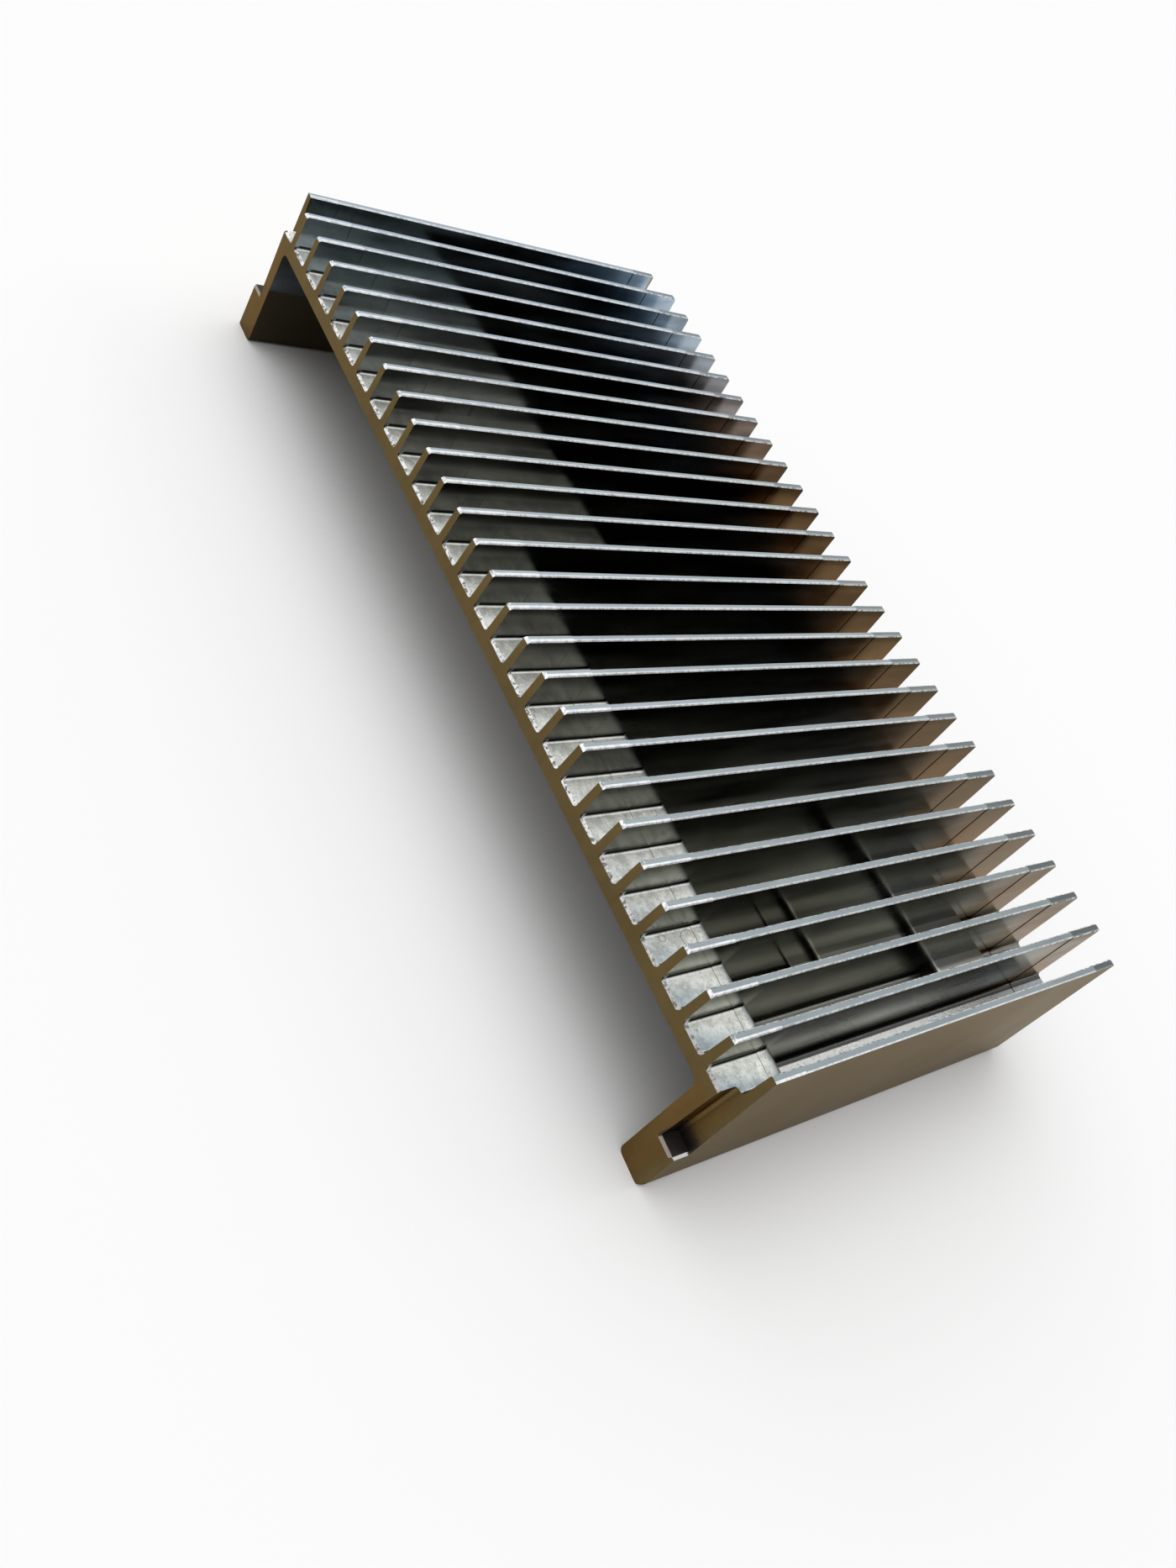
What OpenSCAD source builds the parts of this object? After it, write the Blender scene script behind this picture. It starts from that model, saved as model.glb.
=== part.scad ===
// Die-cast aluminium heat sink, one casting.
// A row of thin drafted fins stands on a stepped base that is carried by a leg at each end.
// X runs along the row of fins, Y along each fin and Z up.
// The origin lies under the middle of the casting, on the surface that its legs stand on.

/* [Fins] */
// Number of fins in the row
fin_count = 28; // [24:1:36]
// Distance from one fin to the next
fin_pitch = 8; // [6:0.5:12]
// Length of a fin along its tip
fin_length = 110.8; // [100:0.2:140]
// Thickness of a fin at its tip
fin_tip = 1.4; // [1:0.1:2.2]
// Lean of the two broad faces of a fin, in degrees
fin_lean = 1.2; // [0.5:0.1:1.6]
// Radius of the fillet at the root of a fin
fin_root_r = 0.8; // [0.3:0.1:1.2]
// Width of the small bevel along the edges of a fin tip
tip_bevel = 0.2; // [0.1:0.05:0.4]
// Width of the bevel across the two ends of a fin tip
tip_end_bevel = 0.5; // [0.2:0.1:1]
// Lean of the two ends of a fin above the shelf, in degrees
fin_end_lean = 3.4; // [1:0.2:5]
// How far the first and the last fin stop short of the others at each end
end_fin_inset = 3.6; // [2:0.1:6]

/* [Die seams] */
// Distance of each seam between the die inserts from the ends of the fin tips
seam_inset = 10.8; // [8:0.2:12]
// Step that the die inserts leave in the faces at a seam
seam_step = 0.1; // [0.05:0.01:0.2]

/* [Base] */
// Height of the fin tips above the feet
overall_height = 37; // [34:0.5:48]
// Depth of the valleys between the fins
valley_depth = 19.2; // [17:0.2:22]
// Depth of the valleys over the raised shelf along the left side
shelf_depth = 8; // [6:0.2:10]
// Wall thickness of the base
base_wall = 3.5; // [2.5:0.1:4.5]
// Radius along the top edge of the shelf and of the raised floor blocks
shelf_edge_r = 1.2; // [0.6:0.1:1.8]
// Lean of the walls below those edges, in degrees
shelf_lean = 6; // [2:1:12]
// Width of the bevel along the left edge of the shelf, between the fins
shelf_bevel = 0.5; // [0.3:0.1:1]

/* [Shelf] */
// Reach of the shelf from the left fin tips in the first group of valleys
shelf_reach_first = 43.2; // [34:0.2:52]
// Number of valleys in the first group
shelf_valleys_first = 13; // [4:1:14]
// Reach of the shelf in the middle group of valleys
shelf_reach_middle = 20; // [18:0.2:26]
// Reach of the shelf in the single valley between the middle and the last group
shelf_reach_between = 16.8; // [16:0.1:18]
// Reach of the shelf in the last group of valleys
shelf_reach_last = 14.4; // [14:0.1:16]
// Number of valleys in the last group
shelf_valleys_last = 4; // [3:1:6]

/* [Raised floor blocks] */
// Rise of the tall block above the floor
tall_block_rise = 4; // [2:0.2:6]
// Distance of the tall block from the left fin tips
tall_block_start = 75; // [68:0.5:78]
// Length of the tall block along the fins
tall_block_length = 17; // [10:0.5:20]
// Number of valleys that the tall block fills
tall_block_valleys = 4; // [1:1:6]
// Rise of the low block above the floor
low_block_rise = 2; // [1:0.2:3]
// Distance of the low block from the left fin tips
low_block_start = 47; // [40:0.5:52]
// Number of valleys that the low block fills
low_block_valleys = 2; // [1:1:3]
// Distance from the low block back to the thin step before it
thin_step_offset = 6.4; // [4:0.2:10]
// Rise of the thin step
thin_step_rise = 0.5; // [0.3:0.1:0.8]
// Depth of the pocket beside the tall block
pocket_depth = 2; // [1:0.1:2.2]
// Length of the pocket along the fins
pocket_length = 8; // [4:0.5:12]

/* [Legs] */
// Thickness of a leg at its foot
leg_foot = 7.4; // [6:0.2:10]
// Lean of the outer faces at the two ends of the row, in degrees
outer_lean = 2.5; // [1:0.5:3.5]
// Lean of the two long sides below the top of the shelf, in degrees
side_lean = 0.3; // [0.1:0.1:1.5]
// Lean of the inner faces of the legs, in degrees
inner_lean = 2; // [1:0.5:3]
// Radius along the bottom edges of a leg
foot_r = 1.5; // [0.5:0.1:2.5]
// Radius under the base where it meets a leg
throat_r = 1.6; // [0.8:0.1:3]
// Height of the floor of the corner notch above the feet
notch_floor = 11.4; // [8:0.2:16]
// Width of the corner notch from the middle of the end fin inwards
notch_inner = 2.7; // [2:0.1:3.2]
// Radius in the inner corner of the notch
notch_r = 0.8; // [0.4:0.1:1.4]
// Width of the bevel along the outer edges of the notch floor
notch_bevel = 0.5; // [0.2:0.1:0.8]
// Depth of the flat across the upright corner of a leg below the notch
corner_flat = 0.6; // [0.3:0.1:1]

/* [Hidden] */
$fn = 48;
// Overrun of a cut past the faces that it opens
cut_over = 5;
valley_count = fin_count - 1;
row_length = valley_count * fin_pitch;
left_tip = -fin_length / 2;
right_tip = fin_length / 2;
left_seam = left_tip + seam_inset;
right_seam = right_tip - seam_inset;
half_length = row_length / 2 + fin_tip / 2;
foot_spread = overall_height * tan(outer_lean);
shelf_z = overall_height - shelf_depth;
floor_z = overall_height - valley_depth;
shelf_left = left_tip - shelf_depth * tan(fin_end_lean);
foot_left = shelf_left - shelf_z * tan(side_lean);
foot_half_length = half_length + foot_spread;
left_cut = foot_left - cut_over;
right_cut = -left_cut;
channel_width = 2 * (foot_half_length - leg_foot);

// The shelf steps back in groups of valleys, each with the valley that it ends before and its reach
between_end = valley_count - shelf_valleys_last;
shelf_groups = [
    [0, shelf_valleys_first, shelf_reach_first],
    [shelf_valleys_first, between_end - 1, shelf_reach_middle],
    [between_end - 1, between_end, shelf_reach_between],
    [between_end, valley_count, shelf_reach_last]
];

// The blocks end one valley before the last, where the floor runs through
block_end = valley_count - 1;
tall_block_first = block_end - tall_block_valleys;
low_block_first = block_end - 1 - low_block_valleys;
pocket_valley = tall_block_first - 1;

// Middle of a fin and of the valley after it
function fin_x(index) = index * fin_pitch - row_length / 2;
function valley_x(index) = fin_x(index) + fin_pitch / 2;

// Flat outline that stands on the X axis, with leaning sides and rounded bottom corners.
// A lean above zero makes it wider at the bottom.
module leaning_outline(top_w, height, lean, r) {
    half_top = top_w / 2;
    centre_x = half_top + height * tan(lean) - r * tan(lean) - r / cos(lean);
    side_x = centre_x + r * cos(lean);
    side_y = r + r * sin(lean);
    polygon([
        [-centre_x, 0],
        [centre_x, 0],
        [side_x, side_y],
        [half_top, height],
        [-half_top, height],
        [-side_x, side_y]
    ]);
    for (side = [-1, 1]) {
        translate([side * centre_x, r])
            circle(r);
    }
}

// Extrudes a flat outline along the fins, from one Y to another, with its Y axis up
module along_fins(from_y, to_y) {
    translate([0, to_y, 0])
        rotate([90, 0, 0])
            linear_extrude(to_y - from_y)
                children();
}

// Extrudes a flat outline along the row, from one X to another, with its X axis along the fins
module along_row(from_x, to_x) {
    translate([from_x, 0, 0])
        rotate([90, 0, 90])
            linear_extrude(to_x - from_x)
                children();
}

// Section of one valley between two fins, with bevelled lips and filleted roots
module valley_section(depth, step) {
    mouth = fin_pitch - fin_tip - 2 * step;
    lip = mouth / 2 + tip_bevel;
    lip_foot = mouth / 2 - tip_bevel * tan(fin_lean);
    translate([0, overall_height - depth + step])
        leaning_outline(mouth, depth - step, -fin_lean, fin_root_r);
    polygon([
        [-lip_foot, overall_height - tip_bevel],
        [lip_foot, overall_height - tip_bevel],
        [lip, overall_height],
        [lip, overall_height + cut_over],
        [-lip, overall_height + cut_over],
        [-lip, overall_height]
    ]);
}

// Sections of the valleys from one to another
module valley_comb(first, end, depth, step) {
    for (index = [first : end - 1]) {
        translate([valley_x(index), 0])
            valley_section(depth, step);
    }
}

// Outer form of the casting, leaning on all four sides, with rounded feet
module outer_form() {
    intersection() {
        along_fins(left_cut, right_cut)
            leaning_outline(2 * half_length, overall_height, outer_lean, foot_r);
        along_row(-foot_half_length - cut_over, foot_half_length + cut_over)
            polygon([
                [foot_left, 0],
                [-foot_left, 0],
                [-shelf_left, shelf_z],
                [right_tip, overall_height],
                [left_tip, overall_height],
                [shelf_left, shelf_z]
            ]);
    }
}

// Space beside the rounded inner edge of a foot, on the side of the last leg
module foot_round_section() {
    centre_x = channel_width / 2 - foot_r * tan(inner_lean) + foot_r / cos(inner_lean);
    touch_x = centre_x - foot_r * cos(inner_lean);
    touch_z = foot_r - foot_r * sin(inner_lean);
    difference() {
        translate([touch_x - cut_over, -cut_over])
            square([centre_x - touch_x + cut_over, touch_z + cut_over]);
        translate([centre_x, foot_r])
            circle(foot_r);
    }
}

// Section of the space between the legs, up to a given height
module channel_section(top_z) {
    translate([0, top_z])
        mirror([0, 1])
            leaning_outline(channel_width, top_z, -inner_lean, throat_r);
    translate([-channel_width / 2, -cut_over])
        square([channel_width, cut_over]);
    for (side = [0, 1]) {
        mirror([side, 0])
            foot_round_section();
    }
}

// Space under the base, which follows the steps of the shelf with an even wall
module underside() {
    along_fins(left_cut, right_cut)
        channel_section(floor_z - base_wall);
    for (group = shelf_groups) {
        group_end = group[1] == valley_count ? foot_half_length : fin_x(group[1]) - base_wall;
        intersection() {
            along_fins(left_cut, left_tip + group[2] - base_wall)
                channel_section(shelf_z - base_wall);
            translate([-foot_half_length, left_cut, -cut_over])
                cube([foot_half_length + group_end, right_cut - left_cut, overall_height]);
        }
    }
}

// Rounded and leaning end of the shelf, seen along the row, with a like end on the far side of the left tips
module shelf_end_section(reach) {
    drop = valley_depth - shelf_depth + base_wall;
    translate([left_tip, shelf_z])
        mirror([0, 1])
            leaning_outline(2 * (reach + drop * tan(shelf_lean)), drop, -shelf_lean, shelf_edge_r);
}

// Raised floor block seen along the row, from one Y to another
module block_section(from_y, to_y, rise) {
    sunk = base_wall / 2;
    translate([(from_y + to_y) / 2, floor_z + rise])
        mirror([0, 1])
            leaning_outline(
                to_y - from_y + 2 * (rise + sunk) * tan(shelf_lean),
                rise + sunk,
                -shelf_lean,
                min(shelf_edge_r, rise / 2)
            );
}

// Raised blocks of the floor, over the valleys that they fill
module floor_blocks() {
    tall_y = left_tip + tall_block_start;
    low_y = left_tip + low_block_start;
    along_row(fin_x(tall_block_first), fin_x(block_end))
        block_section(tall_y, tall_y + tall_block_length, tall_block_rise);
    along_row(fin_x(low_block_first), fin_x(low_block_first + low_block_valleys)) {
        block_section(low_y, tall_y + tall_block_length / 2, low_block_rise);
        block_section(low_y - thin_step_offset, tall_y, thin_step_rise);
    }
}

// Space between the fins over the shelf
module shelf_valleys(group) {
    shelf_end = left_tip + group[2] - shelf_edge_r;
    along_fins(left_cut, left_seam)
        valley_comb(group[0], group[1], shelf_depth, seam_step);
    along_fins(left_seam, shelf_end)
        valley_comb(group[0], group[1], shelf_depth, 0);
}

// Bevel of the left edge of the shelf, cut between the fins only
module shelf_bevels() {
    edge_y = shelf_left + shelf_bevel;
    edge_z = shelf_z + seam_step;
    intersection() {
        along_fins(left_cut, left_seam)
            valley_comb(0, valley_count, shelf_depth + shelf_bevel, seam_step);
        along_row(-half_length, half_length)
            polygon([
                [edge_y + cut_over, edge_z + cut_over],
                [edge_y - cut_over, edge_z + cut_over],
                [edge_y - cut_over, edge_z - cut_over]
            ]);
    }
}

// Space between the fins past the shelf, down to the floor and its raised blocks
module floor_valleys(group) {
    shelf_end = left_tip + group[2] - shelf_edge_r;
    difference() {
        union() {
            along_fins(shelf_end, right_seam)
                valley_comb(group[0], group[1], valley_depth, 0);
            along_fins(right_seam, right_cut)
                valley_comb(group[0], group[1], valley_depth, seam_step);
        }
        along_row(fin_x(group[0]), fin_x(group[1]))
            shelf_end_section(group[2]);
        floor_blocks();
    }
}

// Pocket in the floor beside the tall block
module floor_pocket() {
    pocket_end = left_tip + tall_block_start;
    along_fins(pocket_end - pocket_length, pocket_end)
        translate([valley_x(pocket_valley), 0])
            valley_section(valley_depth + pocket_depth, 0);
}

// Notch in one corner of the casting, seen from above, with a rounded inner corner
module notch_section() {
    depth = row_length;
    square_x = row_length / 2 - notch_inner;
    translate([square_x + notch_r, -depth])
        square([depth, depth]);
    translate([square_x, -depth])
        square([depth, depth - notch_r]);
    translate([square_x + notch_r, -notch_r])
        circle(notch_r);
}

// Notches at the left ends of the legs, and the full-height ones at the right ends
module corner_notches() {
    for (side = [0, 1]) {
        mirror([side, 0, 0]) {
            translate([0, left_tip + end_fin_inset, notch_floor])
                linear_extrude(overall_height)
                    notch_section();
            translate([0, right_tip - end_fin_inset, -cut_over])
                mirror([0, 1, 0])
                    linear_extrude(overall_height + 2 * cut_over)
                        notch_section();
        }
    }
}

// Space outside a bevel of an upper left edge that lies at the origin
module bevel_section(width) {
    over = 2 * width;
    polygon([
        [width + over, over],
        [width - over, over],
        [width - over, -over]
    ]);
}

// Bevels across the ends of all the fin tips
module tip_end_bevels() {
    for (side = [0, 1]) {
        mirror([0, side, 0])
            along_row(-foot_half_length, foot_half_length)
                translate([left_tip, overall_height])
                    bevel_section(tip_end_bevel);
    }
}

// Bevels along the two outer edges of each notch floor
module notch_bevels() {
    notch_left = foot_left + notch_floor * tan(side_lean);
    notch_outer = foot_half_length - notch_floor * tan(outer_lean);
    for (side = [0, 1]) {
        mirror([side, 0, 0]) {
            along_row(row_length / 2 - notch_inner, foot_half_length)
                translate([notch_left, notch_floor])
                    bevel_section(notch_bevel);
            along_fins(left_cut, left_tip + end_fin_inset)
                translate([notch_outer, notch_floor])
                    mirror([1, 0])
                        bevel_section(notch_bevel);
        }
    }
}

// Leaning flats across the upright corners of the legs below the left notches
module corner_flats() {
    corner_lean = atan((tan(outer_lean) + tan(side_lean)) / sqrt(2));
    flat_width = 4 * cut_over;
    flat_height = notch_floor + 2 * cut_over;
    for (side = [0, 1]) {
        mirror([side, 0, 0])
            translate([foot_half_length, foot_left, 0])
                rotate([0, 0, -45])
                    rotate([0, -corner_lean, 0])
                        translate([-corner_flat, -flat_width / 2, -cut_over])
                            cube([flat_width, flat_width, flat_height]);
    }
}

// The whole casting
module heat_sink() {
    color("silver")
    difference() {
        outer_form();
        underside();
        for (group = shelf_groups) {
            shelf_valleys(group);
            floor_valleys(group);
        }
        shelf_bevels();
        floor_pocket();
        tip_end_bevels();
        corner_notches();
        notch_bevels();
        corner_flats();
    }
}

heat_sink();
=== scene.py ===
"""Finishes the die-cast heat sink and sets it on a pale studio floor."""

import bpy
from bpy.props import FloatProperty, FloatVectorProperty, PointerProperty
from bpy.types import Operator, Panel, PropertyGroup
from mathutils import Matrix, Vector


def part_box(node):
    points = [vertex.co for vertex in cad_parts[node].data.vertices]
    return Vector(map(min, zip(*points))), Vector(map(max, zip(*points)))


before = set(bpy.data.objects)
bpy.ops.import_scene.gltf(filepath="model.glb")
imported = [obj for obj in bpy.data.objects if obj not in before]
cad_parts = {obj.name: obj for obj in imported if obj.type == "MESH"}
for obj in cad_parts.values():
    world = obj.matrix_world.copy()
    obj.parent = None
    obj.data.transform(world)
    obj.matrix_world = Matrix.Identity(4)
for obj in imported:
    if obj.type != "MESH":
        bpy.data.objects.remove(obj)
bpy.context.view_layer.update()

bl_info = {
    "name": "Die-cast Heat Sink",
    "version": (1, 0, 0),
    "blender": (4, 5, 0),
    "location": "3D View > Sidebar > Heat Sink",
    "description": "Cast aluminium finish and studio stage for a finned heat sink",
    "category": "Object",
}

MM = 0.001
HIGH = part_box("heat_sink")[1]

# Levels of the casting, in millimetres above the feet
TOP = HIGH.z / MM
SHELF = TOP - 8.0
BLOCK = TOP - 15.2
POCKET = TOP - 21.2
NOTCH_FLOOR = 11.4

# Places along the row of fins, in millimetres from its middle
HALF_LENGTH = HIGH.x / MM
PITCH = 8.0
FIRST_FIN = -13.5 * PITCH
LAST_VALLEY = 12.5 * PITCH
NOTCH_INNER = HALF_LENGTH - 5.4

# Places along the fins, in millimetres from their middle
NOTCH_BACK = -51.8
FIRST_SHELF_END = -12.2

# Where each later group of valleys starts along the row, and where its shelf ends
SHELF_GROUPS = ((-4.0, -35.4), (68.0, -38.6), (76.0, -41.0))

# Ring marks of the ejector pins: place along the row, place along the fins, radius
PIN_MARKS = ((79.3, -46.2, 1.6), (78.3, -51.8, 0.7))

# Soft limits along the row, between which one look turns into another
FAR_ROWS = (-100.0, -20.0)
NEAR_ROWS = (40.0, 100.0)
WARM_ROWS = (-95.0, -25.0)
WIDE_TIP_HIGHLIGHT_ROWS = (10.0, 80.0)
PALE_TIP_ROWS = (10.0, 105.0)

# Soft limits along the fins
LEFT_EDGE = (-54.6, -54.2)
OVER_SHELF = (-42.0, -40.0)
LAST_FLOOR_SHADE = (2.0, 42.0)
RIGHT_SIDE = (4.0, 28.0)
WARM_END = (27.0, 43.0)
WITHIN_SIDES = (50.0, 51.0)
CORNERS = (51.0, 51.5)

# Soft limits of how far a face looks up, down, along the row or along the fins
LOOKS_UP = (0.74, 0.92)
LOOKS_DOWN = (-0.7, -0.3)
LOOKS_ALONG_ROW = (0.8, 0.97)
LOOKS_ALONG_FINS = (0.75, 0.95)

# Painted lines: how far from its middle each one starts to fade, and where it ends
SEAM_LINE = (0.07, 0.16)
PIN_LINE = (0.05, 0.16)
SCRATCH_LINE = (0.0015, 0.006)

# Uneven metal: scale of the noise for each millimetre, its detail and its roughness
CLOUD = (0.045, 2.0, 0.6)
FLOW = (1.0, 1.5, 0.5)
SPECKLE = (1.1, 2.0, 0.75)
MOTTLE = (0.4, 3.0, 0.7)
SCRATCHES = (1.0, 1.0, 0.5)
GRAIN_DETAIL = (2.0, 0.7)

# How the flow and the scratches are stretched along the row, along the fins and up
FLOW_STRETCH = (0.4, 0.03, 0.16)
SCRATCH_STRETCH = (0.3, 0.16, 0.22)

# How strongly each kind of mark takes the dark colour: painted shade in the fillets,
# the notches, on the step walls and on the last valley's floor, and dark seams, pin
# rings and scratches
DARKENED = {
    "fillet": 0.8,
    "seam": 0.8,
    "pins": 0.4,
    "notch": 0.95,
    "step_wall": 0.9,
    "scratch": 0.35,
    "last_roots": 0.93,
}

# How strongly each zone shows the flow streaks, and the speckle
STREAKED = {"broad": 1.0, "other_floor": 0.5, "skin": 0.12}
SPECKLED = {"shelf": 1.0, "last_floor": 1.0, "tip": 0.3, "skin": 0.2}

# Roughness of the fin faces, and what each other zone adds to it
FACE_ROUGHNESS = 0.21
ADDED_ROUGHNESS = {
    "shelf": 0.32,
    "floor": 0.12,
    "last_floor": -0.05,
    "tip": 0.10,
    "skin": 0.14,
    "below": 0.25,
    "rim": 0.2,
}
ROUGHNESS_LIMITS = (0.08, 0.8)

# Spread of the soft lights, from where each one starts to where it is full
WINDOW_SPREAD = (0.30, 0.90)
FILL_SPREAD = (0.40, 0.95)
BACK_SPREAD = (0.985, 0.997)
OVERHEAD_SPREAD = (0.70, 0.97)
HORIZON = (0.22, 0.42)

# Height of the camera's sensor in millimetres, and its range in metres
SENSOR_HEIGHT = 36.0
CAMERA_RANGE = (0.005, 50.0)


class CastingFinish(PropertyGroup):
    """Colours and surface sizes of the cast aluminium."""

    tip_colour: FloatVectorProperty(
        name="Fin tips",
        description="Colour of the level tips of the fins",
        subtype="COLOR",
        default=(0.33, 0.38, 0.405),
        min=0.0,
        max=1.0,
    )
    # Painted reflection: the bluer tone of the far tips stands in for the bluish light
    # they mirror
    far_tip_reflection_colour: FloatVectorProperty(
        name="Far fin tips",
        description="Colour of the level tips of the fins at the far end",
        subtype="COLOR",
        default=(0.30, 0.37, 0.455),
        min=0.0,
        max=1.0,
    )
    pad_colour: FloatVectorProperty(
        name="Shelf",
        description="Colour of the level metal of the shelf between the fins",
        subtype="COLOR",
        default=(0.92, 0.935, 0.885),
        min=0.0,
        max=1.0,
    )
    # Painted shade: the shelf in the near rows is made darker and bluer towards the
    # near fin and the left end
    pad_shade_colour: FloatVectorProperty(
        name="Shelf shade",
        description="Colour of the dull side of the shelf in the last valleys",
        subtype="COLOR",
        default=(0.36, 0.44, 0.48),
        min=0.0,
        max=1.0,
    )
    floor_colour: FloatVectorProperty(
        name="Valley floor",
        description="Colour of the deep floor between the fins",
        subtype="COLOR",
        default=(0.70, 0.70, 0.65),
        min=0.0,
        max=1.0,
    )
    fin_colour: FloatVectorProperty(
        name="Fin faces",
        description="Colour of the broad drafted faces of the fins",
        subtype="COLOR",
        default=(0.175, 0.176, 0.158),
        min=0.0,
        max=1.0,
    )
    # Painted reflection and painted shade: this bluish dark colour makes the fin faces
    # bluer towards their right ends and in the far rows, and darkens the rounded end of
    # the shelf and the right end of the last valley's floor
    bluish_reflection_shade_colour: FloatVectorProperty(
        name="Fin faces on the right",
        description="Colour of the broad faces of the fins towards their right ends",
        subtype="COLOR",
        default=(0.145, 0.178, 0.21),
        min=0.0,
        max=1.0,
    )
    # Painted reflection: warm brown on the broad fin faces past the right seam,
    # standing in for warm surroundings they mirror
    fin_end_reflection_colour: FloatVectorProperty(
        name="Fin faces past the right seam",
        description="Colour of the broad faces of the fins past the right seam",
        subtype="COLOR",
        default=(0.13, 0.074, 0.034),
        min=0.0,
        max=1.0,
    )
    # Painted reflection and painted shade: the warm dark brown of the outer faces and
    # the fin ends stands in for warm surroundings mirrored in the bare aluminium and
    # for the shade these faces lie in
    skin_reflection_shade_colour: FloatVectorProperty(
        name="Outer skin",
        description="Colour of the outer faces and of the ends of the fins",
        subtype="COLOR",
        default=(0.130, 0.092, 0.038),
        min=0.0,
        max=1.0,
    )
    # Painted reflection and painted shade: the darker warm brown of the leg ends and
    # the notch walls stands in for mirrored warm surroundings and shade
    leg_end_reflection_shade_colour: FloatVectorProperty(
        name="Leg ends",
        description="Colour of the ends of the legs and of the walls of their notches",
        subtype="COLOR",
        default=(0.142, 0.086, 0.030),
        min=0.0,
        max=1.0,
    )
    # Painted shade: the underside and the inner faces of the legs are made nearly black
    # because they lie in shade
    inner_shade_colour: FloatVectorProperty(
        name="Inner skin",
        description="Colour of the underside and of the inner faces of the legs",
        subtype="COLOR",
        default=(0.065, 0.053, 0.034),
        min=0.0,
        max=1.0,
    )
    # Painted shade as well as stain marks: this colour darkens the fillets, the
    # notches, the step walls and the last valley's floor, besides the seams, pin rings
    # and scratches
    stain_and_shade_colour: FloatVectorProperty(
        name="Stain",
        description="Colour of the dark fillets, seams, scratches and stains",
        subtype="COLOR",
        default=(0.05, 0.047, 0.043),
        min=0.0,
        max=1.0,
    )
    # Painted highlight as well as wear: this colour makes the near edges of the tips,
    # the rims of the shelf and the notches and the root lines bright, and paints light
    # on the floor of the last valley
    wear_and_highlight_colour: FloatVectorProperty(
        name="Bare edges",
        description="Colour of the worn edges along the tips and the shelf",
        subtype="COLOR",
        default=(0.93, 0.94, 0.95),
        min=0.0,
        max=1.0,
    )
    glance_tint: FloatVectorProperty(
        name="Glancing tint",
        description="Tint of the bare metal where it is seen at a glancing angle",
        subtype="COLOR",
        default=(0.82, 0.82, 0.76),
        min=0.0,
        max=1.0,
    )
    # Painted reflection: a warm tint at glancing angles for the faces that take the
    # painted warm reflection
    skin_reflection_tint: FloatVectorProperty(
        name="Glancing tint of the skin",
        description="Tint of the outer skin where it is seen at a glancing angle",
        subtype="COLOR",
        default=(0.72, 0.66, 0.58),
        min=0.0,
        max=1.0,
    )
    grain_size: FloatProperty(
        name="Grain size",
        description="Size of the fine grain of the casting",
        unit="LENGTH",
        default=0.45 * MM,
        min=0.05 * MM,
        max=3 * MM,
    )
    grain_depth: FloatProperty(
        name="Grain depth",
        description="Depth of the fine grain on the level metal",
        unit="LENGTH",
        default=0.045 * MM,
        min=0.0,
        max=0.3 * MM,
    )
    seam_place: FloatProperty(
        name="Seam place",
        description="Distance of the die seams from the middle of the fins",
        unit="LENGTH",
        default=44.6 * MM,
        min=20 * MM,
        max=60 * MM,
    )


class StageSettings(PropertyGroup):
    """Floor, soft light and camera."""

    floor_colour: FloatVectorProperty(
        name="Floor",
        description="Colour of the floor",
        subtype="COLOR",
        default=(0.90, 0.90, 0.90),
        min=0.0,
        max=1.0,
    )
    floor_size: FloatProperty(
        name="Floor size",
        description="Width of the square floor",
        unit="LENGTH",
        default=8.0,
        min=1.0,
        max=40.0,
    )
    dome: FloatProperty(
        name="Dome",
        description="Strength of the even dome of light",
        default=0.12,
        min=0.0,
        max=4.0,
    )
    overhead: FloatProperty(
        name="Overhead light",
        description="Strength of the wide soft light overhead",
        default=1.45,
        min=0.0,
        max=8.0,
    )
    window: FloatProperty(
        name="Soft window",
        description="Strength of the wide soft light behind the heat sink",
        default=0.85,
        min=0.0,
        max=8.0,
    )
    window_way: FloatVectorProperty(
        name="Window direction",
        description="Direction of the soft light, seen from the heat sink",
        subtype="DIRECTION",
        default=(-0.72, 0.42, 0.56),
    )
    fill: FloatProperty(
        name="Soft fill",
        description="Strength of the wide soft light on the shelf side",
        default=0.6,
        min=0.0,
        max=8.0,
    )
    fill_way: FloatVectorProperty(
        name="Fill direction",
        description="Direction of the soft fill, seen from the heat sink",
        subtype="DIRECTION",
        default=(-0.42, -0.66, 0.62),
    )
    back: FloatProperty(
        name="Soft back light",
        description="Strength of the small soft light behind the fins",
        default=2.0,
        min=0.0,
        max=8.0,
    )
    back_way: FloatVectorProperty(
        name="Back light direction",
        description="Direction of the small soft light, seen from the heat sink",
        subtype="DIRECTION",
        default=(0.13, 0.79, 0.60),
    )
    camera_place: FloatVectorProperty(
        name="Camera place",
        description="Where the camera stands",
        subtype="TRANSLATION",
        unit="LENGTH",
        default=(0.13514, -0.19225, 0.17633),
    )
    camera_right: FloatVectorProperty(
        name="Camera right",
        description="Direction of the picture's right side",
        subtype="DIRECTION",
        default=(0.41893, 0.76706, 0.48591),
    )
    camera_back: FloatVectorProperty(
        name="Camera back",
        description="Direction from the heat sink back to the camera",
        subtype="DIRECTION",
        default=(0.39692, -0.63600, 0.66178),
    )
    camera_lens: FloatProperty(
        name="Camera lens",
        description="Focal length in millimetres for a 36 mm high sensor",
        default=28.75,
        min=10.0,
        max=200.0,
    )


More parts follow.
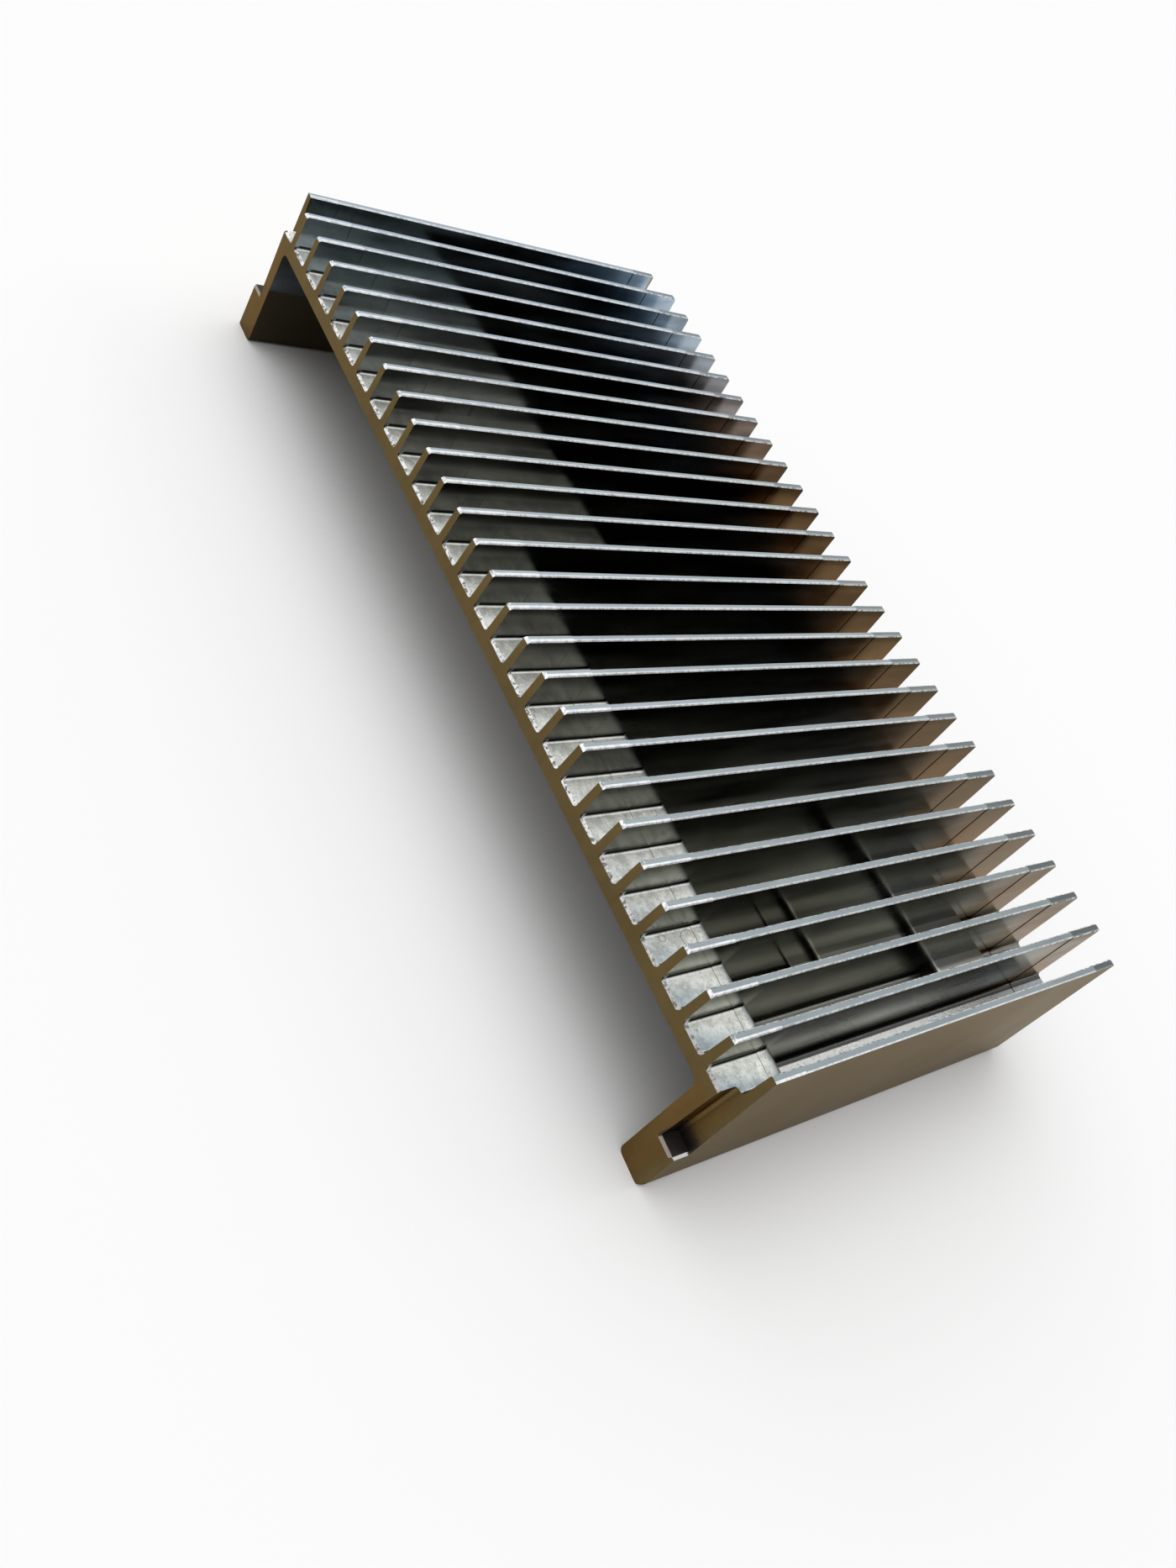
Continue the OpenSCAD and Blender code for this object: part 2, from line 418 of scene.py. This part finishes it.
class Value:
    """A number that changes over a surface, held by a socket of a shader tree."""

    def __init__(self, tree, socket):
        self.tree = tree
        self.socket = socket

    def math(self, operation, first, second=0.0):
        """Adds a Math node and gives its result."""
        added = self.tree.node(
            "ShaderNodeMath", {"operation": operation}, {0: first, 1: second}
        )
        return self.tree.out(added, "Value")

    def __add__(self, other):
        return self.math("ADD", self, other)

    def __radd__(self, other):
        return self.math("ADD", other, self)

    def __sub__(self, other):
        return self.math("SUBTRACT", self, other)

    def __rsub__(self, other):
        return self.math("SUBTRACT", other, self)

    def __mul__(self, other):
        return self.math("MULTIPLY", self, other)

    def __rmul__(self, other):
        return self.math("MULTIPLY", other, self)

    def __abs__(self):
        return self.math("ABSOLUTE", self)

    def at_most(self, other):
        """The smaller of two numbers."""
        return self.math("MINIMUM", self, other)

    def at_least(self, other):
        """The larger of two numbers."""
        return self.math("MAXIMUM", self, other)

    def repeat(self, length):
        """Starts again from 0 after each length."""
        return self.math("FLOORED_MODULO", self, length)


class ShaderTree:
    """Adds the nodes of one material or of the world."""

    def __init__(self, tree):
        tree.nodes.clear()
        self.tree = tree

    def node(self, kind, settings, inputs):
        """Adds a node, makes its settings, then gives its sockets values or links."""
        added = self.tree.nodes.new(kind)
        for name, setting in settings.items():
            setattr(added, name, setting)
        for name, value in inputs.items():
            if isinstance(name, int):
                socket = added.inputs[name]
            else:
                socket = self.named(added.inputs, name)
            if isinstance(value, Value):
                self.tree.links.new(value.socket, socket)
            else:
                socket.default_value = value
        return added

    def named(self, sockets, name):
        """The socket with a name, or with an identifier where names repeat."""
        for socket in sockets:
            if name in (socket.identifier, socket.name):
                return socket
        raise KeyError(name)

    def out(self, added, name):
        """An output of a node, for use in an expression."""
        return Value(self, self.named(added.outputs, name))

    def parts(self, vector):
        """The three numbers of a vector."""
        split = self.node("ShaderNodeSeparateXYZ", {}, {"Vector": vector})
        return [self.out(split, axis) for axis in "XYZ"]

    def scaled(self, vector, scale):
        """A vector with each of its numbers scaled."""
        added = self.node(
            "ShaderNodeVectorMath", {"operation": "MULTIPLY"}, {0: vector, 1: scale}
        )
        return self.out(added, "Vector")

    def toward(self, vector, way):
        """How nearly a direction points the given way, 1 at most."""
        added = self.node(
            "ShaderNodeVectorMath",
            {"operation": "DOT_PRODUCT"},
            {0: vector, 1: Vector(way).normalized()},
        )
        return self.out(added, "Value")

    def apart(self, vector, point):
        """Distance from a point."""
        added = self.node(
            "ShaderNodeVectorMath", {"operation": "DISTANCE"}, {0: vector, 1: point}
        )
        return self.out(added, "Value")

    def rise(self, value, low, high, first=0.0, last=1.0):
        """Goes smoothly from first at low to last at high."""
        added = self.node(
            "ShaderNodeMapRange",
            {"interpolation_type": "SMOOTHSTEP"},
            {
                "Value": value,
                "From Min": low,
                "From Max": high,
                "To Min": first,
                "To Max": last,
            },
        )
        return self.out(added, "Result")

    def fall(self, value, low, high):
        """Goes smoothly from 1 at low to 0 at high."""
        return self.rise(value, low, high, 1.0, 0.0)

    def band(self, value, rises, falls):
        """Rises between one pair of limits and falls again between another."""
        return self.rise(value, *rises) * self.fall(value, *falls)

    def noise(self, vector, scale, detail, roughness):
        """A cloudy number from 0 to 1."""
        added = self.node(
            "ShaderNodeTexNoise",
            {"noise_dimensions": "3D"},
            {
                "Vector": vector,
                "Scale": scale,
                "Detail": detail,
                "Roughness": roughness,
            },
        )
        return self.out(added, "Fac")

    def blend(self, share, first, second):
        """Mixes two colours."""
        added = self.node(
            "ShaderNodeMix",
            {"data_type": "RGBA"},
            {"Factor_Float": share, "A_Color": first, "B_Color": second},
        )
        return self.out(added, "Result_Color")

    def shaded(self, colour, level):
        """A colour made lighter or darker by a number."""
        grey = self.node(
            "ShaderNodeCombineXYZ", {}, {"X": level, "Y": level, "Z": level}
        )
        return self.scaled(colour, self.out(grey, "Vector"))


def solid(colour):
    """A colour with full cover, as a shader's socket takes it."""
    return (*colour, 1.0)


class CastSurface:
    """Tells the surfaces of the casting apart by where they lie and how they face."""

    def __init__(self, tree, look):
        self.tree = tree
        self.look = look
        self.place = tree.out(tree.node("ShaderNodeTexCoord", {}, {}), "Object")
        self.mm = tree.scaled(self.place, (1 / MM, 1 / MM, 1 / MM))
        self.x, self.y, self.z = tree.parts(self.mm)
        facing = tree.out(tree.node("ShaderNodeNewGeometry", {}, {}), "Normal")
        self.nx, self.ny, self.nz = tree.parts(facing)
        self.find_levels()
        self.find_skin()
        self.find_edges()
        self.find_rows()
        self.find_die_marks()
        self.find_wear()

    def find_levels(self):
        """Fin tips, shelf, valley floors and the broad faces of the fins."""
        tree, x, z, nz = self.tree, self.x, self.z, self.nz
        self.near_top = tree.rise(z, TOP - 0.6, TOP - 0.4)
        self.above_floor = tree.rise(z, POCKET - 1.0, POCKET - 0.5)
        self.deep = tree.fall(z, SHELF - 3.0, SHELF - 1.0)
        self.tip = self.near_top * tree.rise(nz, 0.2, 0.9)
        self.level = tree.rise(nz, *LOOKS_UP) * (1.0 - self.near_top)
        self.floor = self.level * self.deep
        self.shelf = self.level - self.floor
        self.last_valley = tree.rise(x, LAST_VALLEY + 0.5, LAST_VALLEY + 1.0)
        self.last_floor = self.floor * self.last_valley
        self.other_floor = self.floor - self.last_floor
        self.outer = tree.rise(abs(x), HALF_LENGTH - 2.2, HALF_LENGTH - 1.9)
        self.upright = tree.rise(abs(self.nx), *LOOKS_ALONG_ROW) * (1.0 - self.outer)
        self.broad = self.upright * self.above_floor

    def find_skin(self):
        """The outer faces, the fin ends and the legs, which take painted warm
        reflection and shade, and the inside, which takes painted shade.
        """
        tree, x, y, z = self.tree, self.x, self.y, self.z
        corner = tree.rise(abs(x), NOTCH_INNER - 0.2, NOTCH_INNER + 0.1)
        corner = corner * tree.rise(abs(y), *CORNERS)
        leg_inside = self.upright * (1.0 - self.above_floor) * (1.0 - corner)
        self.below = tree.fall(self.nz, *LOOKS_DOWN).at_least(leg_inside)
        skin = tree.rise(abs(self.ny), *LOOKS_ALONG_FINS).at_least(self.outer)
        skin = skin.at_least(1.0 - self.above_floor).at_least(corner)
        self.skin = skin * (1.0 - self.tip)
        leg_end = self.skin * tree.fall(z, SHELF - 6.0, SHELF) * (1.0 - self.outer)
        self.leg_end = leg_end * tree.rise(abs(x), LAST_VALLEY, LAST_VALLEY + 1.0)
        # Painted reflection: where the fin faces past the right seam take the warm
        # brown
        self.fin_end = tree.rise(y, *WARM_END) * tree.rise(x, *WARM_ROWS) * self.broad

    def find_edges(self):
        """Bevels with painted highlights, and the fillets, the walls of the floor's
        steps and the notch, darkened with painted shade.
        """
        tree, x, y, z = self.tree, self.x, self.y, self.z
        across, to_left, nz = abs(self.nx), 0.0 - self.ny, self.nz
        slanted = tree.band(nz, (0.3, 0.5), (0.8, 0.95))
        left_edge = tree.rise(to_left, 0.4, 0.6) * tree.fall(y, *LEFT_EDGE)
        self.rim = slanted * self.near_top.at_least(left_edge * self.above_floor)
        notch_rim = tree.rise(across, 0.4, 0.6, 0.25, 0.7)
        self.notch_rim = slanted * (1.0 - self.above_floor) * notch_rim
        within = self.above_floor * self.deep * (1.0 - self.outer)
        within = within * tree.fall(abs(y), *WITHIN_SIDES)
        # Painted shade on the walls of the floor's steps
        self.step_wall = tree.rise(to_left, 0.45, 0.9) * within
        # Painted shade in the fillets at the roots of the fins
        fillet = tree.band(nz, (0.05, 0.25), (0.7, 0.93)) * tree.rise(across, 0.15, 0.5)
        fillet = fillet * self.above_floor * (1.0 - self.near_top)
        self.fillet = fillet * (1.0 - 0.7 * self.deep * (1.0 - self.last_valley))
        root_line = tree.band(nz, (0.9, 0.95), (0.98, 0.995)) * self.shelf
        self.root_line = root_line * tree.fall(self.ny, 0.05, 0.1)
        # Painted shade: the notches in the leg ends made dark
        notch = tree.band(
            z,
            (NOTCH_FLOOR - 0.1, NOTCH_FLOOR),
            (NOTCH_FLOOR + 1.0, NOTCH_FLOOR + 4.5),
        )
        notch = notch * tree.fall(y, NOTCH_BACK, NOTCH_BACK + 0.1)
        notch = notch * tree.rise(abs(x), NOTCH_INNER, NOTCH_INNER + 0.2)
        self.notch = notch * (1.0 - self.notch_rim)

    def find_rows(self):
        """What changes from the far fins to the near ones, and across a valley."""
        tree, x, y, z = self.tree, self.x, self.y, self.z
        self.far_row = tree.fall(x, *FAR_ROWS)
        near_row = tree.rise(x, *NEAR_ROWS)
        # Painted reflection: the fin faces just above the shelf in the near rows take
        # on the shelf's pale colour, as if mirroring it
        over_shelf = tree.fall(y, *OVER_SHELF) * tree.fall(z, SHELF + 2.0, TOP - 1.0)
        self.over_shelf = near_row * over_shelf * self.broad
        shelf_end, end_before = FIRST_SHELF_END, FIRST_SHELF_END
        for start, end in SHELF_GROUPS:
            step = tree.rise(x, start - 0.1, start + 0.1, 0.0, end - end_before)
            shelf_end, end_before = shelf_end + step, end
        # Painted shade: a dark bluish band along the rounded right end of the shelf
        pad_edge = tree.rise(y - shelf_end, -2.3, -0.4) * tree.rise(self.nz, 0.3, 0.6)
        self.pad_edge = pad_edge * (1.0 - self.deep) * (1.0 - self.near_top)
        past_fin = (x - FIRST_FIN).repeat(PITCH)
        # Painted shade: the shelf in the near rows darker and bluer towards the near
        # fin and the left end
        shaded_side = tree.rise(past_fin - 0.25 * (y + 48.0), 2.5, 7.0, 0.0, 0.85)
        self.pad_shade = self.shelf * near_row * shaded_side
        # Painted shade: the valley floors darker along the roots of the fins, and the
        # tops of the raised blocks darker
        from_middle = abs(past_fin - PITCH / 2)
        self.roots = self.other_floor * tree.rise(from_middle, 0.5, 1.7)
        self.block = self.other_floor * tree.rise(z, BLOCK - 1.5, BLOCK - 0.5)
        # Painted shade: the floor of the last valley is darkened on both sides of a
        # narrow strip
        last_roots = tree.fall(x, LAST_VALLEY + 2.3, LAST_VALLEY + 2.55)
        last_roots = last_roots.at_least(
            tree.rise(x, LAST_VALLEY + 3.7, LAST_VALLEY + 4.6)
        )
        self.last_roots = last_roots * self.last_floor
        # Painted shade: the floor of the last valley darker and bluer towards its right
        # end
        self.last_floor_end_shade = self.last_floor * tree.rise(y, *LAST_FLOOR_SHADE, 0.0, 0.7)

    def find_die_marks(self):
        """Seams of the die, and the rings that its ejector pins leave."""
        tree, y = self.tree, self.y
        seam_y = self.look.seam_place / MM
        self.left_part = tree.fall(y, -seam_y - 0.1, -seam_y)
        self.right_part = tree.rise(y, seam_y, seam_y + 0.1)
        seam = tree.fall(abs(abs(y) - seam_y), *SEAM_LINE) * self.above_floor
        self.seam = seam * (1.0 - self.outer) * (1.0 - self.floor) * (1.0 - self.tip)
        pins = 0.0
        for along_row, along_fins, radius in PIN_MARKS:
            from_pin = tree.apart(self.mm, (along_row, along_fins, SHELF))
            pins = tree.fall(abs(from_pin - radius), *PIN_LINE).at_least(pins)
        self.pins = pins * self.shelf

    def find_wear(self):
        """Uneven metal left as the die filled, speckle, scratches, and the tip edges,
        worn and with painted highlights.
        """
        tree, x, mm = self.tree, self.x, self.mm
        self.cloud = tree.noise(mm, *CLOUD)
        flow = tree.noise(tree.scaled(mm, FLOW_STRETCH), *FLOW)
        self.streak = tree.rise(flow, 0.32, 0.68)
        speckle = tree.noise(mm, *SPECKLE)
        self.worn = tree.rise(speckle, 0.36, 0.56)
        self.pits = tree.rise(speckle, 0.56, 0.74)
        self.mottle = tree.rise(tree.noise(mm, *MOTTLE), 0.38, 0.62)
        lines = tree.noise(tree.scaled(mm, SCRATCH_STRETCH), *SCRATCHES)
        self.scratch = tree.fall(abs(lines - 0.5), *SCRATCH_LINE) * self.broad
        # Painted highlight along the near edge of each tip, mixed with wear: wider in
        # the far and middle rows and left of the seam, weaker right of the right seam
        across_tip = (x + (PITCH / 2 - FIRST_FIN)).repeat(PITCH) - PITCH / 2
        reach = across_tip + 0.18 * self.left_part
        reach = reach + tree.rise(x, *WIDE_TIP_HIGHLIGHT_ROWS, 0.22, 0.0)
        shine = 0.42 + 0.15 * self.left_part + 0.3 * self.worn
        shine = shine * (1.0 - 0.7 * self.right_part)
        self.tip_wear_and_highlight = self.tip * tree.rise(reach, 0.36, 0.46) * shine

    def total(self, shares):
        """The named zones added up, each times its share."""
        added = 0.0
        for zone, share in shares.items():
            added = added + share * getattr(self, zone)
        return added

    def colour(self):
        """Colours of the zones, some of them painted reflection or shade, painted light
        and shade and uneven tone over them, then worn edges with painted highlights,
        and stain marks with painted shade.
        """
        tree, look = self.tree, self.look
        # Painted reflection: the fin faces bluer towards their right ends and in the
        # far rows
        right_side = tree.rise(self.y, *RIGHT_SIDE).at_least(0.6 * self.far_row)
        layers = (
            (right_side * self.broad, look.bluish_reflection_shade_colour),
            # Painted warm reflection on the fin faces past the right seam
            (self.fin_end, look.fin_end_reflection_colour),
            # Painted reflection of the shelf in the fin faces above it
            (0.7 * self.over_shelf, look.pad_colour),
            # Painted warm reflection and painted shade on the outer faces and the fin
            # ends
            (self.skin, look.skin_reflection_shade_colour),
            # Painted warm reflection and painted shade on the leg ends
            (self.leg_end, look.leg_end_reflection_shade_colour),
            # Painted shade on the underside and the inner faces of the legs
            (self.below, look.inner_shade_colour),
            (self.level, look.pad_colour),
            # Painted shade on the shelf in the near rows
            (self.pad_shade, look.pad_shade_colour),
            # Painted shade along the right end of the shelf
            (0.9 * self.pad_edge, look.bluish_reflection_shade_colour),
            (self.floor, look.floor_colour),
            # Painted light: the floor of the last valley made as bright as the worn
            # edges
            (self.last_floor, look.wear_and_highlight_colour),
            # Painted shade at the right end of the last valley's floor
            (self.last_floor_end_shade, look.bluish_reflection_shade_colour),
            (self.tip, look.tip_colour),
            # Painted bluish reflection on the far tips
            (self.tip * self.far_row, look.far_tip_reflection_colour),
        )
        colour = solid(look.fin_colour)
        for share, paint in layers:
            colour = tree.blend(share, colour, solid(paint))
        for level in self.shades():
            colour = tree.shaded(colour, level)
        # Worn edges with painted highlights
        colour = tree.blend(self.worn_and_highlit_edges(), colour, solid(look.wear_and_highlight_colour))
        # Dark seams, rings and scratches, and painted shade
        return tree.blend(self.stains_and_shade(), colour, solid(look.stain_and_shade_colour))

    def shades(self):
        """How much lighter or darker the zones are, one effect after another: painted
        light and shade on the tips, fin faces, roots and blocks, then the uneven tone
        of the metal.
        """
        tree, x, z = self.tree, self.x, self.z
        # Painted light: the tips lighter in the far and middle rows and darker right of
        # the right seam
        tips = tree.rise(x, *PALE_TIP_ROWS, 0.2, -0.1) - 0.5 * self.right_part
        # Painted shade and light on the broad fin faces: darker towards the tips with a
        # dark band just under them, lighter towards the floor, and lighter near the
        # shelf in the far rows
        darker_up = 0.7 * tree.rise(z, POCKET + 2.0, TOP)
        darker_up = darker_up + 0.3 * tree.rise(z, TOP - 2.5, TOP - 0.8)
        far_face = self.far_row * tree.rise(z, SHELF - 4.0, SHELF + 3.0)
        faces = 0.35 + far_face - darker_up * (1.0 - far_face)
        speckle = 0.38 * self.pits + 0.12 * (1.0 - self.worn)
        return (
            1.0 + tips * self.tip,
            1.0 + faces * self.broad,
            # Painted shade along the roots of the valley floors and on the tops of the
            # raised blocks
            (1.0 - 0.7 * self.roots) * (1.0 - 0.4 * self.block),
            0.80 + 0.40 * self.cloud,
            1.0 + (0.3 * self.mottle - 0.2) * self.shelf,
            1.0 + (0.8 * self.streak - 0.4) * self.total(STREAKED),
            1.0 - speckle * self.total(SPECKLED),
        )

    def worn_and_highlit_edges(self):
        """Worn edges with painted highlights along the tips, the shelf, the notches and
        the roots.
        """
        # Painted highlights on the rims, brighter in the far rows than in the near
        # ones, and on the notch rims
        fade = self.tree.rise(self.x, *NEAR_ROWS, 0.9, 0.45).at_least(self.near_top)
        bare = self.rim * self.worn * fade + self.notch_rim
        return bare.at_least(self.tip_wear_and_highlight).at_least(self.root_line * self.worn)

    def stains_and_shade(self):
        """Painted shade in the fillets, notches, step walls and the last valley's
        roots, and dark seams, rings and scratches.
        """
        darkened = 0.0
        for mark, strength in DARKENED.items():
            darkened = (strength * getattr(self, mark)).at_least(darkened)
        return darkened

    def roughness(self):
        """Roughness of the zones, uneven like the metal."""
        rough = FACE_ROUGHNESS + self.total(ADDED_ROUGHNESS)
        rough = rough + 0.16 * (self.cloud - 0.5)
        rough = rough + 0.12 * (self.streak - 0.5) * self.broad
        smoothest, roughest = ROUGHNESS_LIMITS
        return rough.at_least(smoothest).at_most(roughest)

    def grain(self):
        """Normal with the fine grain, which is faint on the fin faces."""
        tree, look = self.tree, self.look
        bump = tree.node(
            "ShaderNodeBump",
            {},
            {
                "Strength": 1.0 - 0.88 * self.broad,
                "Distance": look.grain_depth,
                "Height": tree.noise(self.place, 1.0 / look.grain_size, *GRAIN_DETAIL),
            },
        )
        return tree.out(bump, "Normal")


class HEATSINK_OT_finish_casting(Operator):
    """Gives the casting its bare aluminium finish"""

    bl_idname = "heat_sink.finish_casting"
    bl_label = "Finish the Casting"

    def execute(self, context):
        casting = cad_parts["heat_sink"]
        if not casting.material_slots:
            raise RuntimeError("The casting has no material slot")
        material = self.cast_aluminium(context.scene.heat_sink_finish)
        for slot in casting.material_slots:
            slot.material = material
        return {"FINISHED"}

    def cast_aluminium(self, look):
        """Bare metal, and the faces with painted warm reflection and shade, which
        differ only in their glancing tint.
        """
        material = bpy.data.materials.new("cast_aluminium")
        material.use_nodes = True
        tree = ShaderTree(material.node_tree)
        surface = CastSurface(tree, look)
        colour, rough, normal = surface.colour(), surface.roughness(), surface.grain()
        bare, skinned = (
            tree.node(
                "ShaderNodeBsdfPrincipled",
                {},
                {
                    "Base Color": colour,
                    "Metallic": 1.0,
                    "Roughness": rough,
                    "Specular Tint": solid(tint),
                    "Normal": normal,
                },
            )
            for tint in (look.glance_tint, look.skin_reflection_tint)
        )
        shader = tree.node(
            "ShaderNodeMixShader",
            {},
            {
                # Painted warm reflection at glancing angles on the outer faces, the
                # inside and the fin faces past the right seam
                0: surface.skin.at_least(surface.below).at_least(surface.fin_end),
                1: tree.out(bare, "BSDF"),
                2: tree.out(skinned, "BSDF"),
            },
        )
        tree.node(
            "ShaderNodeOutputMaterial", {}, {"Surface": tree.out(shader, "Shader")}
        )
        return material


class HEATSINK_OT_set_stage(Operator):
    """Lays the pale floor and sets the soft light and the camera"""

    bl_idname = "heat_sink.set_stage"
    bl_label = "Set the Stage"

    def execute(self, context):
        stage = context.scene.heat_sink_stage
        self.lay_floor(context, stage)
        self.light_dome(context, stage)
        self.place_camera(context, stage)
        context.scene.view_settings.view_transform = "Standard"
        return {"FINISHED"}

    def lay_floor(self, context, stage):
        """Adds the pale floor that the casting stands on."""
        bpy.ops.mesh.primitive_plane_add(size=stage.floor_size, location=(0, 0, 0))
        floor = context.object
        floor.name = "studio_floor"
        material = bpy.data.materials.new("pale_floor")
        material.use_nodes = True
        tree = ShaderTree(material.node_tree)
        shader = tree.node(
            "ShaderNodeBsdfPrincipled",
            {},
            {
                "Base Color": solid(stage.floor_colour),
                "Roughness": 0.9,
                "Specular IOR Level": 0.0,
            },
        )
        tree.node(
            "ShaderNodeOutputMaterial", {}, {"Surface": tree.out(shader, "BSDF")}
        )
        floor.data.materials.append(material)

    def light_dome(self, context, stage):
        """Makes a dome of even light with wide soft lights in it."""
        world = bpy.data.worlds.new("soft_dome")
        context.scene.world = world
        world.use_nodes = True
        tree = ShaderTree(world.node_tree)
        way = tree.out(tree.node("ShaderNodeTexCoord", {}, {}), "Generated")
        up = tree.parts(way)[2]
        lights = (
            (stage.window, tree.toward(way, stage.window_way), WINDOW_SPREAD),
            (stage.fill, tree.toward(way, stage.fill_way), FILL_SPREAD),
            (stage.back, tree.toward(way, stage.back_way), BACK_SPREAD),
            (stage.overhead, up, OVERHEAD_SPREAD),
        )
        strength = stage.dome
        for light, nearness, spread in lights:
            strength = strength + light * tree.rise(nearness, *spread)
        # The camera sees a white backdrop, and reflections show it round the horizon
        rays = tree.node("ShaderNodeLightPath", {}, {})
        mirrored = tree.out(rays, "Is Glossy Ray")
        mirrored = mirrored + tree.out(rays, "Is Transmission Ray")
        mirrored = mirrored.at_most(1.0) * tree.fall(up, *HORIZON)
        seen = tree.out(rays, "Is Camera Ray").at_least(mirrored)
        strength = strength + (1.0 - strength) * seen
        shader = tree.node(
            "ShaderNodeBackground",
            {},
            {"Color": (1.0, 1.0, 1.0, 1.0), "Strength": strength},
        )
        tree.node(
            "ShaderNodeOutputWorld", {}, {"Surface": tree.out(shader, "Background")}
        )

    def place_camera(self, context, stage):
        """Adds the camera where the photograph was taken from."""
        data = bpy.data.cameras.new("photo_camera")
        data.sensor_fit = "VERTICAL"
        data.sensor_height = SENSOR_HEIGHT
        data.lens = stage.camera_lens
        data.clip_start, data.clip_end = CAMERA_RANGE
        camera = bpy.data.objects.new("photo_camera", data)
        context.scene.collection.objects.link(camera)
        back = Vector(stage.camera_back).normalized()
        right = Vector(stage.camera_right)
        right = (right - back * right.dot(back)).normalized()
        up = back.cross(right)
        turn = Matrix((right, up, back)).transposed()
        camera.matrix_world = Matrix.Translation(stage.camera_place) @ turn.to_4x4()
        context.scene.camera = camera


class HEATSINK_PT_panel(Panel):
    """Lists the finish, the stage and the steps that make them"""

    bl_idname = "HEATSINK_PT_panel"
    bl_label = "Heat Sink"
    bl_space_type = "VIEW_3D"
    bl_region_type = "UI"
    bl_category = "Heat Sink"

    def draw(self, context):
        layout = self.layout
        for title, group, operator in (
            ("Casting", context.scene.heat_sink_finish, "heat_sink.finish_casting"),
            ("Stage", context.scene.heat_sink_stage, "heat_sink.set_stage"),
        ):
            box = layout.box()
            box.label(text=title)
            for name in group.__annotations__:
                box.prop(group, name)
            box.operator(operator)


CLASSES = (
    CastingFinish,
    StageSettings,
    HEATSINK_OT_finish_casting,
    HEATSINK_OT_set_stage,
    HEATSINK_PT_panel,
)


def register():
    for cls in CLASSES:
        bpy.utils.register_class(cls)
    bpy.types.Scene.heat_sink_finish = PointerProperty(type=CastingFinish)
    bpy.types.Scene.heat_sink_stage = PointerProperty(type=StageSettings)


def unregister():
    del bpy.types.Scene.heat_sink_stage
    del bpy.types.Scene.heat_sink_finish
    for cls in reversed(CLASSES):
        bpy.utils.unregister_class(cls)


def main():
    register()
    bpy.ops.heat_sink.finish_casting()
    bpy.ops.heat_sink.set_stage()


if __name__ == "__main__":
    main()
